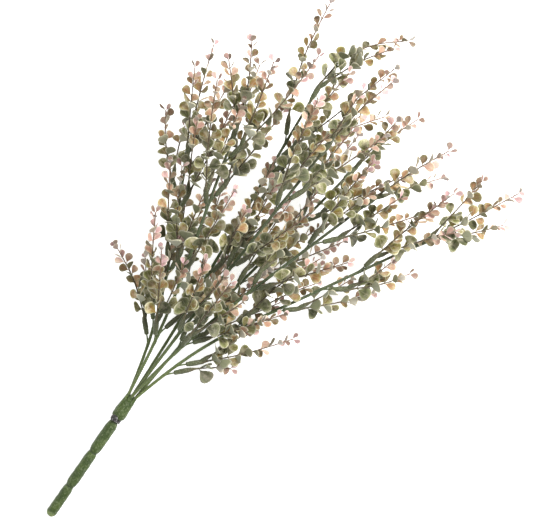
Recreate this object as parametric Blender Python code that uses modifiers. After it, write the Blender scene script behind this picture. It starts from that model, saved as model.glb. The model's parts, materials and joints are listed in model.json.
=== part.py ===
"""An artificial eucalyptus bush, lying on a table.

A moulded handle carries seven bendable branches. Each branch has short pegs, and a sprig of round
leaves is pushed onto every peg by the hollow sleeve at its foot. Metres, +Z up, standing on z = 0.
"""

import math
import random
from collections import namedtuple

import bmesh
import bpy
from mathutils import Matrix, Vector
from mathutils.bvhtree import BVHTree

# ---------------------------------------------------------------- driving dimensions, in metres and degrees

CLEARANCE = 0.0003  # between any two pieces that fit into or pass each other

HANDLE_RADIUS = 0.0051
HANDLE_SECTION = 0.0390  # one of the handle's moulded sections, from waist to waist
LOWEST_SECTION = 0.0345  # the lowest one, which is cut shorter
HANDLE_SECTIONS = 3
NECK_RADIUS = 0.0036
CROWN_RADIUS = 0.0065
CROWN_LENGTH = 0.0235
HANDLE_PITCH = 6.5  # how steeply the handle climbs from the table to the foliage

WIRE_RADIUS = 0.0006
WIRE_TURNS = 2
WIRE_PITCH = 2 * WIRE_RADIUS + CLEARANCE
NECK_LENGTH = WIRE_TURNS * WIRE_PITCH + 2 * WIRE_RADIUS  # the bare neck under the crown, which the wire fills

SOCKET_CIRCLE = 0.0041  # radius of the ring of sockets round the middle one
SOCKET_DEPTH = 0.0080
ROOT_RADIUS = 0.0010  # the branch where it sits in its socket
BRANCH_RADIUS = 0.0018
BRANCH_TIP_RADIUS = 0.0013
BRANCH_BEND = 0.150  # length over which a branch turns to its own heading
LEAVING_TURN = 0.5  # how much of that turn it has made already where it leaves the crown
BRANCH_STEP = 0.024

PEG_RADIUS = 0.0007
PEG_LENGTH = 0.0060  # the part of a peg that is inside a sleeve
SPREAD = 26.0  # angle between a peg and its branch
FORK = 0.55  # where a side twig leaves its sleeve, as a share of the sleeve's length
FORK_SPREAD = 24.0
SIDE_SHARE = 0.80  # a side twig's length as a share of what is left of its sprig
SLEEVE_LENGTH = 0.021
SLEEVE_MOUTH_RADIUS = 0.0019
SLEEVE_RADIUS = 0.0024
TWIG_RADIUS = 0.0008
TWIG_TIP_RADIUS = 0.0005
TWIG_STEP = 0.028

LEAF_LENGTH = 0.0142  # the lowest leaves of a sprig
LEAF_TIP_LENGTH = 0.0080  # the ones at its tip
LEAF_WIDTH_SHARE = 0.92  # a leaf's width as a share of its length
LEAF_TIP_WIDTH_SHARE = 0.62
LEAF_THICKNESS = 0.0011
LEAF_SPACING = 0.0142  # from one pair of leaves to the next
LEAF_FORWARD = 52.0  # angle between the lowest leaves and their twig
LEAF_TIP_FORWARD = 36.0
LEAF_TURN = 58.0  # how far a leaf may turn on its own axis to face up
LEAF_ROOM = 0.0006  # kept free on each face of a leaf

TABLE_GAP = 0.0022  # a stem's centre stays this far above the table
SETTLE_LENGTH = 0.040  # a stem that comes down flattens out over about this length
SEED = 11

# ---------------------------------------------------------------- the design: branches and their sprigs

# Headings turn left from the handle's own line and rises lift from the table, both in degrees. A branch
# lists its sprigs as (distance along the branch, heading and rise that the sprig ends with, its length,
# and how far to the left each of its side twigs ends). A distance of END is the branch's tip.
END = -1.0
Branch = namedtuple("Branch", "heading rise length sprigs")

BRANCHES = (
    Branch(25, 5, 0.215, (
        (0.050, 64, 4, 0.086, -26), (0.066, 28, 18, 0.102, -18), (0.112, 14, -6, 0.090, 16),
        (0.122, 30, 24, 0.094), (0.172, 8, 18, 0.104, 14), (0.182, 33, 4, 0.076, -16),
        (END, 18, 6, 0.112, 9, -12))),
    Branch(14, 14, 0.252, (
        (0.056, 28, 34, 0.090, -16), (0.064, -4, 6, 0.092), (0.116, 27, 10, 0.096, -15),
        (0.124, 2, 34, 0.096), (0.186, 24, 26, 0.116, -14), (0.194, -2, 0, 0.094, 15),
        (0.232, -3, 16, 0.116, 16), (END, 31, 10, 0.088, -16, 12))),
    Branch(4, 8, 0.315, (
        (0.078, 20, -6, 0.090), (0.120, 16, 2, 0.094), (0.130, -12, 26, 0.094, 16),
        (0.190, -10, -4, 0.100, 16), (0.236, -36, -6, 0.112, 14), (0.252, -18, 20, 0.126, 10),
        (0.270, 7, 10, 0.121), (END, -50, 2, 0.106, 12))),
    Branch(-4, 18, 0.285, (
        (0.072, 12, 40, 0.086, -18), (0.080, -18, 4, 0.090), (0.146, 8, 6, 0.100, -16),
        (0.154, -20, 36, 0.094), (0.220, 8, 28, 0.104, -16), (0.230, -20, 4, 0.096, 15),
        (END, -16, 12, 0.086, 14))),
    Branch(-10, 3, 0.278, (
        (0.060, 4, -6, 0.090), (0.068, -32, 8, 0.088, 18), (0.136, 0, 20, 0.096, -16),
        (0.144, -32, -6, 0.092, -12), (0.212, -4, -6, 0.100, 14), (0.220, -30, 18, 0.100, 14),
        (END, -22, 4, 0.084, 14))),
    Branch(-18, 11, 0.275, (
        (0.062, -4, 34, 0.088, -16), (0.070, -36, 10, 0.086), (0.148, -6, 2, 0.098, -16),
        (0.150, -38, 28, 0.090), (0.210, -6, 24, 0.096, -14), (0.220, -36, 4, 0.096, 14),
        (END, -26, 10, 0.088, -12))),
    Branch(-30, 5, 0.292, (
        (0.036, -60, 0, 0.052), (0.050, -37, 4, 0.100, 20), (0.112, -24, 8, 0.096, -12),
        (0.152, -40, -4, 0.082, 18), (0.200, -33, 4, 0.072, 20), (0.236, -18, 18, 0.104, -24),
        (END, -26, 7, 0.102, 22, -14))),
)

# ---------------------------------------------------------------- directions, paths and room


def direction(heading, rise):
    """The unit vector of a heading and a rise."""
    turn, lift = math.radians(heading), math.radians(rise)
    return Vector((math.cos(turn) * math.cos(lift), math.sin(turn) * math.cos(lift), math.sin(lift)))


def smooth(share):
    """0 to 1 with a level start and end."""
    share = min(1.0, max(0.0, share))
    return share * share * (3 - 2 * share)


def mix(first, last, share):
    return first + (last - first) * share


def bent_path(start, first, last, length, straight, bend, step):
    """Points of a stem that starts along first and, after a straight foot, turns to last within bend.

    A stem that comes down to the table flattens out along it.
    """
    count = max(2, round(length / step))
    points = [start.copy()]
    for i in range(count):
        along = (i + 0.5) / count * length
        turned = first.slerp(last, smooth((along - straight) / bend))
        if along > straight:
            turned.z = max(turned.z, (TABLE_GAP - points[-1].z) / SETTLE_LENGTH)
        points.append(points[-1] + turned.normalized() * (length / count))
    return points


def place_on(points, distance):
    """The point that far along the path, and the path's direction there."""
    for before, after in zip(points, points[1:]):
        piece = (after - before).length
        if distance <= piece or after is points[-1]:
            return before.lerp(after, distance / piece), (after - before).normalized()
        distance -= piece


def square_to(axis):
    """A unit vector square to the axis, as level as it can be."""
    level = axis.cross(Vector((0, 0, 1)))
    return level.normalized() if level.length > 1e-6 else Vector((0, 1, 0))


class Room:
    """What is already in place, so that the next stem or leaf can be kept clear of it."""

    CELL = max(BRANCH_STEP, TWIG_STEP) / 2 + LEAF_LENGTH  # shapes that can meet have middles nearer than this

    def __init__(self):
        self.cells = {}

    def add(self, owner, corners, faces):
        tree = BVHTree.FromPolygons(corners, faces)
        middle = sum(corners, Vector()) / len(corners)
        key = tuple(int(c // self.CELL) for c in middle)
        self.cells.setdefault(key, []).append((owner, tree))

    def free(self, corners, faces, but=()):
        """True if nothing in place is cut by this shape, leaving out the owners named in but."""
        tree = BVHTree.FromPolygons(corners, faces)
        middle = sum(corners, Vector()) / len(corners)
        x, y, z = (int(c // self.CELL) for c in middle)
        near = ((x + i, y + j, z + k) for i in (-1, 0, 1) for j in (-1, 0, 1) for k in (-1, 0, 1))
        for key in near:
            for owner, other in self.cells.get(key, ()):
                if owner not in but and tree.overlap(other):
                    return False
        return True


TUBE_SIDES = 12


def tube_shapes(points, radii, grow):
    """The corners and faces of each stretch of a prism round a tube that is made thicker by grow."""
    around = 1 / math.cos(math.pi / TUBE_SIDES)
    for (before, after), (r0, r1) in zip(zip(points, points[1:]), zip(radii, radii[1:])):
        axis = (after - before).normalized()
        side = square_to(axis)
        other = axis.cross(side)
        corners = []
        for end, radius in ((before, r0), (after, r1)):
            for i in range(TUBE_SIDES):
                turn = math.tau * i / TUBE_SIDES
                out = side * math.cos(turn) + other * math.sin(turn)
                corners.append(end + out * (radius + grow) * around)
        sides = [(i, (i + 1) % TUBE_SIDES, (i + 1) % TUBE_SIDES + TUBE_SIDES, i + TUBE_SIDES)
                 for i in range(TUBE_SIDES)]
        yield corners, sides + [tuple(range(TUBE_SIDES)), tuple(range(TUBE_SIDES, 2 * TUBE_SIDES))]


# ---------------------------------------------------------------- the layout: where every piece goes

Stem = namedtuple("Stem", "points radii")
Leaf = namedtuple("Leaf", "place length width")  # place: x along the leaf, z out of its upper face
Sprig = namedtuple("Sprig", "name foot stems leaves")  # foot: where its peg leaves the branch, and which way


def handle_axis():
    """The handle's lower end and its direction."""
    return Vector((0, 0, HANDLE_RADIUS)), direction(0, HANDLE_PITCH)


def crown_bottom_height():
    """How far up the handle's own line its crown starts."""
    return LOWEST_SECTION + HANDLE_SECTION * (HANDLE_SECTIONS - 1)


def crown_top():
    start, axis = handle_axis()
    return start + axis * (crown_bottom_height() + CROWN_LENGTH)


def socket_places():
    """The mouths of the sockets: six in a ring, two of them to the left and two to the right, and one in the middle."""
    _, axis = handle_axis()
    left = -square_to(axis)
    up = axis.cross(left)
    ring = {0: 330, 1: 30, 5: 90, 6: 150, 4: 210, 2: 270}
    places = {}
    for number in range(len(BRANCHES)):
        turn = math.radians(ring.get(number, 0))
        reach = SOCKET_CIRCLE if number in ring else 0
        places[number] = crown_top() + (left * math.cos(turn) + up * math.sin(turn)) * reach
    return places


def lay_branch(number):
    """The branch's own path: its root in the socket, then the turn to its heading."""
    branch = BRANCHES[number]
    _, axis = handle_axis()
    mouth = socket_places()[number]
    bottom = mouth - axis * (SOCKET_DEPTH - CLEARANCE)
    last = direction(branch.heading, branch.rise)
    free = bent_path(mouth + axis * 0.001, axis.slerp(last, LEAVING_TURN), last, branch.length,
                     0.0, BRANCH_BEND, BRANCH_STEP)
    points = [bottom, mouth, *free]
    radii = [ROOT_RADIUS, ROOT_RADIUS]
    radii += [mix(BRANCH_RADIUS, BRANCH_TIP_RADIUS, i / (len(free) - 1)) for i in range(len(free))]
    return Stem(points, radii)


def twig_radius(along, length):
    """A sprig's radius: a spindle-shaped sleeve at its foot, then a thin twig."""
    if along < SLEEVE_LENGTH:
        share = along / SLEEVE_LENGTH
        end = mix(SLEEVE_MOUTH_RADIUS, TWIG_RADIUS, share)
        return end + (SLEEVE_RADIUS - SLEEVE_MOUTH_RADIUS + share * (SLEEVE_MOUTH_RADIUS - TWIG_RADIUS)) \
            * math.sin(math.pi * share)
    return mix(TWIG_RADIUS, TWIG_TIP_RADIUS, (along - SLEEVE_LENGTH) / (length - SLEEVE_LENGTH))


def sprig_stem(foot, first, last, length):
    """The sprig from the mouth of its sleeve: three short stretches for the sleeve, then the twig."""
    fine = bent_path(foot, first, last, length, PEG_LENGTH, 0.85 * length, 0.004)
    stations = [0.0, 0.32 * SLEEVE_LENGTH, 0.68 * SLEEVE_LENGTH, SLEEVE_LENGTH]
    twigs = max(2, round((length - SLEEVE_LENGTH) / TWIG_STEP))
    stations += [mix(SLEEVE_LENGTH, length, (i + 1) / twigs) for i in range(twigs)]
    points = [place_on(fine, s)[0] for s in stations]
    return Stem(points, [twig_radius(s, length) for s in stations])


def side_stem(main, first, last, length):
    """A side twig: from inside the main sleeve, through a shorter swelling of its own, to its tip."""
    foot, along = place_on(main.points, FORK * SLEEVE_LENGTH)
    side = last - along * last.dot(along)
    turn = math.radians(FORK_SPREAD)
    first = along * math.cos(turn) + side.normalized() * math.sin(turn)
    fine = bent_path(foot, first, last, length, 0.4 * SLEEVE_LENGTH, 0.85 * length, 0.004)
    stations = [0.0, 0.35 * SLEEVE_LENGTH, 0.75 * SLEEVE_LENGTH]
    twigs = max(2, round((length - stations[-1]) / TWIG_STEP))
    stations += [mix(stations[-1], length, (i + 1) / twigs) for i in range(twigs)]
    points = [place_on(fine, s)[0] for s in stations]
    radii = [TWIG_RADIUS, 0.85 * SLEEVE_RADIUS, TWIG_RADIUS]
    radii += [mix(TWIG_RADIUS, TWIG_TIP_RADIUS, (i + 1) / twigs) for i in range(twigs)]
    return Stem(points, radii)


# Other ways for a twig that meets what is in place: what is added to its heading and rise, and its
# length's share, and the other places along the branch for its peg.
STEM_DETOURS = [(0, 0, 1.0)] + [(turn, lift, share) for share in (1.0, 0.85) for size in (5, 10, 15, 21, 28, 36)
                                for turn, lift in ((0, size), (0, -size), (size, 0), (-size, 0),
                                                   (size, size), (-size, size), (size, -size), (-size, -size))]
STEM_SHIFTS = (0.0, 0.008, -0.008, 0.016, -0.016)


def clear_stem(stem, room, neighbour=None):
    """True if the stem meets nothing. Its foot may come closer to the neighbour that it is fitted to."""
    if min(p.z for p in stem.points) < TABLE_GAP / 2:
        return False
    wide = list(tube_shapes(stem.points, stem.radii, 1.5 * CLEARANCE))
    close = next(tube_shapes(stem.points, stem.radii, CLEARANCE / 4))
    foot = neighbour is None or (room.free(*wide[0], but=(neighbour,)) and room.free(*close))
    return foot and all(room.free(*shape) for shape in wide[0 if neighbour is None else 1:])


def lay_sprig(name, branch_stem, row, room, own_branch):
    """The sprig's foot and stems, by the first way that is clear."""
    distance, heading, rise, length, *forks = row
    free = branch_stem.points[2:]
    ways = [(shift, *way) for shift in (STEM_SHIFTS if distance != END else (0.0,)) for way in STEM_DETOURS]
    for shift, turn, lift, share in ways:
        if distance == END:
            at = free[-1]
            along = (at - free[-2]).normalized()
            reach, spread = CLEARANCE, 0.0
        else:
            at, along = place_on(free, distance + shift)
            spread = math.radians(SPREAD)
            reach = (BRANCH_RADIUS + SLEEVE_MOUTH_RADIUS + CLEARANCE) / math.sin(spread)
        last = direction(heading + turn, rise + lift)
        side = last - along * last.dot(along)
        first = along * math.cos(spread) + side.normalized() * math.sin(spread)
        stem = sprig_stem(at + first * reach, first, last, length * share)
        if clear_stem(stem, room, own_branch):
            break
    stems = [stem]
    for fork in forks:
        tilt = 12 if fork > 0 else -12
        for turn, lift, share in STEM_DETOURS:
            last = direction(heading + fork + turn, rise + tilt + lift)
            left = (length - FORK * SLEEVE_LENGTH) * SIDE_SHARE * share
            twig = side_stem(stem, first, last, left)
            if clear_stem(twig, room):
                break
        stems.append(twig)
    return (at, first), stems


LEAF_SIDES = 4
UNIT = []
FOOT_DEPTH = 0.35  # how far out in the twig a leaf's foot starts, as a share of the twig's radius


def unit_leaf():
    """A leaf one long and one wide: a low four-sided cone on its flat back, its foot at the origin."""
    cage = bmesh.new()
    bmesh.ops.create_cone(cage, cap_ends=True, segments=LEAF_SIDES, radius1=1.0, radius2=0.0, depth=1.0)
    bmesh.ops.remove_doubles(cage, verts=cage.verts, dist=1e-6)
    bmesh.ops.rotate(cage, verts=cage.verts, matrix=Matrix.Rotation(math.radians(-90), 3, "Z"))
    low = min(v.co.x for v in cage.verts)
    if len([v for v in cage.verts if v.co.x < low + 0.01]) > 1:
        bmesh.ops.rotate(cage, verts=cage.verts, matrix=Matrix.Rotation(math.pi, 3, "Z"))
        low = min(v.co.x for v in cage.verts)
    long = max(v.co.x for v in cage.verts) - low
    wide = 2 * max(v.co.y for v in cage.verts)
    for v in cage.verts:
        v.co = (((v.co.x - low) / long) ** 0.75, v.co.y / wide, v.co.z + 0.42)
    return cage


def leaf_corners(leaf, grow=0.0):
    """The corners and faces of a leaf, made larger by grow on every side."""
    cage = UNIT[0]
    long, wide, thick = leaf.length + 2 * grow, leaf.width + 2 * grow, LEAF_THICKNESS + 2 * grow
    corners = [leaf.place @ Vector((c.x * long - grow, c.y * wide, c.z * thick - grow)) for c in cage]
    return corners, UNIT[1]


def read_unit_leaf():
    cage = unit_leaf()
    cage.verts.index_update()
    corners = [v.co.copy() for v in cage.verts]
    faces = [tuple(v.index for v in face.verts) for face in cage.faces]
    cage.free()
    return corners, faces


def leaf_place(at, along, radial, forward, twist):
    """The matrix of a leaf that leaves the twig sideways along radial, leaning forward."""
    lean = math.radians(forward)
    x = along * math.cos(lean) + radial * math.sin(lean)
    y = along.cross(radial)
    z = x.cross(y)
    turned = Matrix.Rotation(math.radians(twist), 3, x)
    place = Matrix((x, turned @ y, turned @ z)).transposed().to_4x4()
    place.translation = at
    return place


def turn_up(along, radial, forward):
    """How far a leaf on that side of its twig turns on its own axis to face up, in degrees."""
    flat = leaf_place(Vector(), along, radial, forward, 0)
    turn = math.degrees(math.atan2(-flat[2][1], flat[2][2]))
    if abs(turn) > 125:
        return 0.0
    return max(-LEAF_TURN, min(LEAF_TURN, turn))


# Other ways for a leaf: what is added to its roll round the twig, its lean and its twist, and its size.
LEAF_DETOURS = [(0, 0, 0, 1.0)] + [(roll, lean, twist, 1.0) for roll in (0, 14, -14, 28, -28)
                                   for lean in (0, -14, 14, -26) for twist in (0, 28, -28)]
LEAF_DETOURS += [(roll, lean, 0, size) for size in (0.85, 0.7, 0.55) for roll in (0, 20, -20, 40, -40)
                 for lean in (0, -20, 16)]


def lay_leaves(owner, stem, start, room, dice):
    """Pairs of leaves up the twig, each pair square to the last, smaller and closer to the twig at the tip."""
    length = sum((b - a).length for a, b in zip(stem.points, stem.points[1:]))
    pairs = max(2, 1 + round((length - start - 0.001) / LEAF_SPACING))
    roll = dice.uniform(0, 90)
    leaves = []
    for pair in range(pairs):
        share = pair / (pairs - 1)
        distance = mix(start + 0.002, length - 0.0006, share)
        at, along = place_on(stem.points, distance)
        side = square_to(along)
        depth = FOOT_DEPTH * mix(TWIG_RADIUS, TWIG_TIP_RADIUS, share)
        for half in (0, 180):
            size = mix(LEAF_LENGTH, LEAF_TIP_LENGTH, share ** 0.9) * dice.uniform(0.86, 1.12)
            width = mix(LEAF_WIDTH_SHARE, LEAF_TIP_WIDTH_SHARE, share) * dice.uniform(0.88, 1.06)
            lean = mix(LEAF_FORWARD, LEAF_TIP_FORWARD, share) + dice.uniform(-9, 9)
            around = roll + 90 * pair + half + dice.uniform(-14, 14)
            twist = turn_up(along, Matrix.Rotation(math.radians(around), 3, along) @ side, lean)
            twist += dice.uniform(-20, 20)
            for more_roll, more_lean, more_twist, scale in LEAF_DETOURS:  # a leaf with no way clear is left out
                radial = Matrix.Rotation(math.radians(around + more_roll), 3, along) @ side
                place = leaf_place(at + radial * depth, along, radial, lean + more_lean, twist + more_twist)
                leaf = Leaf(place, size * scale, size * scale * width)
                corners, faces = leaf_corners(leaf, LEAF_ROOM)
                if min(c.z for c in corners) > 0 and room.free(corners, faces, but=(owner, (*owner, pair))):
                    room.add((*owner, pair), corners, faces)
                    leaves.append(leaf)
                    break
    return leaves


def lay_out():
    """Every branch and sprig, stems first and leaves after, so that no leaf is in a stem's way."""
    room = Room()
    branches, sprigs, stems = [], [], []
    for number in range(len(BRANCHES)):
        stem = lay_branch(number)
        branches.append(stem)
        for shape in tube_shapes(stem.points, stem.radii, 0.0):
            room.add(f"branch_{number + 1}", *shape)
    for number, branch in enumerate(BRANCHES):
        for count, row in enumerate(branch.sprigs):
            name = f"branch_{number + 1}_sprig_{count + 1}"
            foot, own = lay_sprig(name, branches[number], row, room, f"branch_{number + 1}")
            for shape in tube_shapes([foot[0], own[0].points[0]], [PEG_RADIUS] * 2, 0.0):
                room.add((name, 0), *shape)
            for index, stem in enumerate(own):
                for shape in tube_shapes(stem.points, stem.radii, 0.0):
                    room.add((name, index), *shape)
            stems.append((name, foot, own))
    for index, (name, foot, own) in enumerate(stems):
        dice = random.Random(SEED + index)
        leaves = lay_leaves((name, 0), own[0], SLEEVE_LENGTH, room, dice)
        for side, stem in enumerate(own[1:], 1):
            leaves += lay_leaves((name, side), stem, 0.8 * SLEEVE_LENGTH, room, dice)
        sprigs.append(Sprig(name, foot, own, leaves))
    return branches, sprigs


def settle(branches, sprigs):
    """The matrix that lays the whole bush on the table: tipped until its own weight holds it still, and
    moved so that it stands on z = 0 with its box centred on the origin."""
    start, axis = handle_axis()
    points = [start, start - Vector((0, 0, HANDLE_RADIUS))]
    loads = [(crown_top().lerp(start, 0.5), math.pi * HANDLE_RADIUS ** 2 * crown_bottom_height())]
    for stem in branches + [stem for sprig in sprigs for stem in sprig.stems]:
        for before, after, radius in zip(stem.points, stem.points[1:], stem.radii):
            loads.append((before.lerp(after, 0.5), math.pi * radius ** 2 * (after - before).length))
            points.append(after - Vector((0, 0, radius)))
    for sprig in sprigs:
        for leaf in sprig.leaves:
            corners, _ = leaf_corners(leaf)
            points += corners
            loads.append((corners[0], leaf.length * leaf.width * LEAF_THICKNESS / 6))
    middle = sum((at * load for at, load in loads), Vector()) / sum(load for _, load in loads)
    hull = bmesh.new()
    for point in points:
        hull.verts.new(point)
    bmesh.ops.convex_hull(hull, input=hull.verts)
    tip = Matrix.Identity(4)
    for face in hull.faces:
        if face.normal.z < -0.8 and holds(face, middle):
            tip = face.normal.rotation_difference(Vector((0, 0, -1))).to_matrix().to_4x4()
    hull.free()
    tipped = [tip @ point for point in points]
    low = [min(p[i] for p in tipped) for i in range(3)]
    high = [max(p[i] for p in tipped) for i in range(3)]
    return Matrix.Translation((-(low[0] + high[0]) / 2, -(low[1] + high[1]) / 2, -low[2])) @ tip


def holds(face, middle):
    """True if a weight at middle, pressing square to the face, lands inside it."""
    corners = [v.co for v in face.verts]
    ends = zip(corners, corners[1:] + corners[:1])
    return all((after - before).cross(middle - before).dot(face.normal) > 0 for before, after in ends)


# ---------------------------------------------------------------- Blender helpers


def clear_scene():
    for obj in list(bpy.data.objects):
        bpy.data.objects.remove(obj)


def new_collection(name):
    collection = bpy.data.collections.new(name)
    bpy.context.scene.collection.children.link(collection)
    return collection


def plain_material(name, colour, roughness, metallic=0.0):
    material = bpy.data.materials.new(name)
    material.use_nodes = True
    shader = material.node_tree.nodes["Principled BSDF"]
    shader.inputs["Base Color"].default_value = (*colour, 1.0)
    shader.inputs["Roughness"].default_value = roughness
    shader.inputs["Metallic"].default_value = metallic
    return material


def tube_mesh(name, points, radii, resolution):
    """A closed mesh of a round stem whose radius changes from point to point."""
    curve = bpy.data.curves.new(name, "CURVE")
    curve.dimensions = "3D"
    curve.bevel_depth = 0.001
    curve.bevel_resolution = resolution
    curve.use_fill_caps = True
    spline = curve.splines.new("POLY")
    spline.points.add(len(points) - 1)
    for point, place, radius in zip(spline.points, points, radii):
        point.co = (*place, 1.0)
        point.radius = radius / curve.bevel_depth
    guide = bpy.data.objects.new(name + "_guide", curve)
    bpy.context.scene.collection.objects.link(guide)
    graph = bpy.context.evaluated_depsgraph_get()
    mesh = bpy.data.meshes.new_from_object(guide.evaluated_get(graph))
    bpy.data.objects.remove(guide)
    weld(mesh)
    return mesh


def weld(mesh):
    cage = bmesh.new()
    cage.from_mesh(mesh)
    bmesh.ops.remove_doubles(cage, verts=cage.verts, dist=1e-6)
    bmesh.ops.recalc_face_normals(cage, faces=cage.faces)
    cage.to_mesh(mesh)
    cage.free()


def piece(name, mesh, material, collection):
    mesh.name = name
    mesh.materials.clear()
    mesh.materials.append(material)
    obj = bpy.data.objects.new(name, mesh)
    collection.objects.link(obj)
    return obj


def helper(name, mesh, collection):
    """An object that a Boolean adds or takes away, left out of the model itself."""
    obj = bpy.data.objects.new(name, mesh)
    obj.hide_render = True
    obj.display_type = "WIRE"
    collection.objects.link(obj)
    return obj


def combine(obj, operation, other, overlapping=False):
    modifier = obj.modifiers.new(operation.title(), "BOOLEAN")
    modifier.operation = operation
    modifier.object = other
    modifier.use_self = overlapping


def joined(meshes, name):
    """One mesh of several closed shapes."""
    cage = bmesh.new()
    for mesh in meshes:
        cage.from_mesh(mesh)
    both = bpy.data.meshes.new(name)
    cage.to_mesh(both)
    cage.free()
    return both


# ---------------------------------------------------------------- the pieces


def section_profile(bottom, length, radius, top_radius):
    """One moulded section of the handle from its rounded lower lip to its narrow top, as (radius, height)."""
    shares = ((0.0, 0.80), (0.05, 0.95), (0.16, 1.0), (0.82, 0.99), (0.93, 0.93))
    steps = [(radius * wide, bottom + length * share) for share, wide in shares]
    return steps + [(top_radius, bottom + length)]


def handle_profile():
    """The handle's outline from its closed lower end to the middle of the crown's top."""
    outline = [(0.0, 0.0), (0.55 * HANDLE_RADIUS, 0.0006)]
    for number in range(HANDLE_SECTIONS):
        bottom = LOWEST_SECTION + (number - 1) * HANDLE_SECTION if number else 0.0
        length = HANDLE_SECTION if number else LOWEST_SECTION
        if number == HANDLE_SECTIONS - 1:
            length -= NECK_LENGTH
        section = section_profile(bottom, length, HANDLE_RADIUS, NECK_RADIUS)
        outline += [(r, h + (0.0022 if number == 0 and i == 0 else 0)) for i, (r, h) in enumerate(section)]
    bottom = crown_bottom_height()
    outline.append((NECK_RADIUS, bottom))
    outline += section_profile(bottom, CROWN_LENGTH * 0.94, CROWN_RADIUS, SOCKET_CIRCLE + ROOT_RADIUS
                               + CLEARANCE + 0.0004)
    outline += [(0.0, bottom + CROWN_LENGTH)]
    return outline


def make_handle(material, parts, helpers):
    """A turned body with a socket for each branch in its crown."""
    start, axis = handle_axis()
    outline = list(reversed(handle_profile()))
    mesh = bpy.data.meshes.new("handle")
    corners = [(r, 0.0, h) for r, h in outline]
    mesh.from_pydata(corners, [(i, i + 1) for i in range(len(corners) - 1)], [])
    handle = piece("handle", mesh, material, parts)
    handle.location = start
    handle.rotation_euler = axis.to_track_quat("Z", "Y").to_euler()
    turned = handle.modifiers.new("Turned", "SCREW")
    turned.steps = turned.render_steps = 12
    turned.use_merge_vertices = True
    turned.merge_threshold = 1e-5
    turned.use_smooth_shade = True
    sockets = []
    for number, mouth in socket_places().items():
        ends = [mouth - axis * SOCKET_DEPTH, mouth + axis * 0.004]
        sockets.append(tube_mesh(f"socket_{number}", ends, [ROOT_RADIUS + CLEARANCE] * 2, 1))
    combine(handle, "DIFFERENCE", helper("sockets", joined(sockets, "sockets"), helpers))


def make_neck_wire(material, parts):
    """Two turns of wire round the neck under the crown."""
    start, axis = handle_axis()
    side = square_to(axis)
    other = axis.cross(side)
    reach = NECK_RADIUS + CLEARANCE + WIRE_RADIUS * 1.1
    middle = crown_bottom_height() - NECK_LENGTH / 2
    points = []
    per_turn = 9
    for i in range(WIRE_TURNS * per_turn + 1):
        turn = math.tau * i / per_turn
        height = middle + WIRE_PITCH * (i / per_turn - WIRE_TURNS / 2)
        points.append(start + axis * height + (side * math.cos(turn) + other * math.sin(turn)) * reach)
    mesh = tube_mesh("neck_wire", points, [WIRE_RADIUS] * len(points), 0)
    piece("neck_wire", mesh, material, parts)


def make_branch(number, stem, sprigs, material, parts, helpers):
    """A tapering stem with a peg for each of its sprigs."""
    name = f"branch_{number + 1}"
    branch = piece(name, tube_mesh(name, stem.points, stem.radii, 1), material, parts)
    pegs = []
    for sprig in sprigs:
        at, first = sprig.foot
        tip = sprig.stems[0].points[0] + first * (PEG_LENGTH - 2 * CLEARANCE)
        start = at - first * BRANCH_TIP_RADIUS / 2
        pegs.append(tube_mesh(name + "_peg", [start, tip], [PEG_RADIUS] * 2, 0))
    combine(branch, "UNION", helper(name + "_pegs", joined(pegs, name + "_pegs"), helpers), True)


def make_sprig(sprig, material, parts, helpers):
    """A sleeve and its twigs with their leaves moulded on, and the bore that goes over the peg."""
    main = sprig.stems[0]
    body = piece(sprig.name, tube_mesh(sprig.name, main.points, main.radii, 0), material, parts)
    added = [tube_mesh("side_twig", stem.points, stem.radii, 0) for stem in sprig.stems[1:]]
    for leaf in sprig.leaves:
        corners, faces = leaf_corners(leaf)
        mesh = bpy.data.meshes.new("leaf")
        mesh.from_pydata(corners, [], faces)
        weld(mesh)
        added.append(mesh)
    combine(body, "UNION", helper(sprig.name + "_leaves", joined(added, "leaves"), helpers), True)
    closed = body.modifiers.new("Closed", "WELD")
    closed.merge_threshold = 1e-8
    _, first = sprig.foot
    mouth = main.points[0]
    ends = [mouth - first * 0.002, mouth + first * PEG_LENGTH]
    bore = tube_mesh(sprig.name + "_bore", ends, [PEG_RADIUS + CLEARANCE] * 2, 1)
    combine(body, "DIFFERENCE", helper(sprig.name + "_bore", bore, helpers))


def main():
    clear_scene()
    UNIT.extend(read_unit_leaf())
    parts = new_collection("eucalyptus_bush")
    helpers = new_collection("helpers")
    green = plain_material("handle_green", (0.12, 0.19, 0.05), 0.5)
    branch_green = plain_material("branch_green", (0.08, 0.13, 0.05), 0.6)
    leaf_green = plain_material("leaf_sage", (0.30, 0.30, 0.16), 0.65)
    dark_wire = plain_material("wire", (0.10, 0.10, 0.10), 0.4, 0.8)
    branches, sprigs = lay_out()
    make_handle(green, parts, helpers)
    make_neck_wire(dark_wire, parts)
    for number, stem in enumerate(branches):
        own = [s for s in sprigs if s.name.startswith(f"branch_{number + 1}_")]
        make_branch(number, stem, own, branch_green, parts, helpers)
    for sprig in sprigs:
        make_sprig(sprig, leaf_green, parts, helpers)
    bpy.context.view_layer.update()
    lay_down = settle(branches, sprigs)
    for obj in bpy.data.objects:
        obj.matrix_world = lay_down @ obj.matrix_world


main()
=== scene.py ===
"""The looks of the artificial eucalyptus bush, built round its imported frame.

Every sprig, branch and the handle gets a detailed piece in the place of its plain solid. The layout part
below works out where each stem and leaf is, as the solids were made. Metres, +Z up, lying on z = 0.
"""

import json
import math
import random
from collections import namedtuple

import bmesh
import bpy
import numpy as np
from mathutils import Matrix, Vector, noise
from mathutils.bvhtree import BVHTree

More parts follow.
